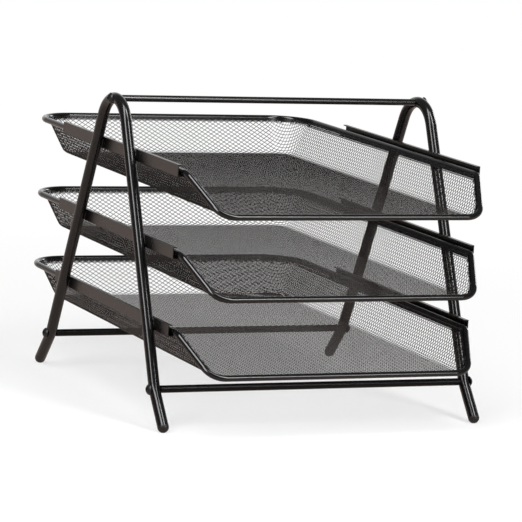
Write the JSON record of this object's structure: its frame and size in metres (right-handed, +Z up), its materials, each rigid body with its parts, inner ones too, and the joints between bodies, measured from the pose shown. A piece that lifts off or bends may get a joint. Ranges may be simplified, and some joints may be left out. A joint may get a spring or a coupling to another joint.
{
  "type": "paper tray",
  "caption": "Desk paper tray: open-mesh trays with a low sloping front lip slide on channel rails between two bent-tube A-frames.",
  "frame": {"origin": "centre of the whole part's footprint, on the surface that it stands on", "axes": "+Z up, +Y towards the rear of the trays, so the low front lips face -Y, +X to the right seen from the front"},
  "size_m": [0.2896, 0.3856, 0.2505],
  "materials": {
    "frame_paint": "satin black powder coat on bent steel tube and rod",
    "rail_paint": "satin dark grey-brown paint on folded steel sheet",
    "wire_paint": "semi-gloss black paint on steel wire and hem strip",
    "mesh_paint": "satin black paint on expanded steel mesh",
    "screw_black": "semi-gloss black coated steel screw",
    "plug_plastic": "matte black moulded plastic"
  },
  "bodies": {
    "frame": {"left_side_frame": "frame_paint", "right_side_frame": "frame_paint", "top_cross_rod": "frame_paint", "front_cross_rod": "frame_paint", "rear_cross_rod": "frame_paint", "left_top_screw": "screw_black", "right_top_screw": "screw_black", "left_front_screw": "screw_black", "right_front_screw": "screw_black", "left_rear_screw": "screw_black", "right_rear_screw": "screw_black", "left_front_foot_plug": "plug_plastic", "left_rear_foot_plug": "plug_plastic", "right_front_foot_plug": "plug_plastic", "right_rear_foot_plug": "plug_plastic", "left_upper_rail": "rail_paint", "left_middle_rail": "rail_paint", "left_lower_rail": "rail_paint", "right_upper_rail": "rail_paint", "right_middle_rail": "rail_paint", "right_lower_rail": "rail_paint"},
    "upper_tray": {"upper_rim_wire": "wire_paint", "upper_hem": "wire_paint", "upper_mesh_wall": "mesh_paint", "upper_mesh_floor": "mesh_paint"},
    "middle_tray": {"middle_rim_wire": "wire_paint", "middle_hem": "wire_paint", "middle_mesh_wall": "mesh_paint", "middle_mesh_floor": "mesh_paint"},
    "lower_tray": {"lower_rim_wire": "wire_paint", "lower_hem": "wire_paint", "lower_mesh_wall": "mesh_paint", "lower_mesh_floor": "mesh_paint"}
  },
  "joints": [
    {"name": "upper_tray_slide", "type": "slide", "parent": "frame", "child": "upper_tray", "axis": [0, -1, 0], "range_m": [0, 0.2]},
    {"name": "middle_tray_slide", "type": "slide", "parent": "frame", "child": "middle_tray", "axis": [0, -1, 0], "range_m": [0, 0.2]},
    {"name": "lower_tray_slide", "type": "slide", "parent": "frame", "child": "lower_tray", "axis": [0, -1, 0], "range_m": [0, 0.2]}
  ]
}
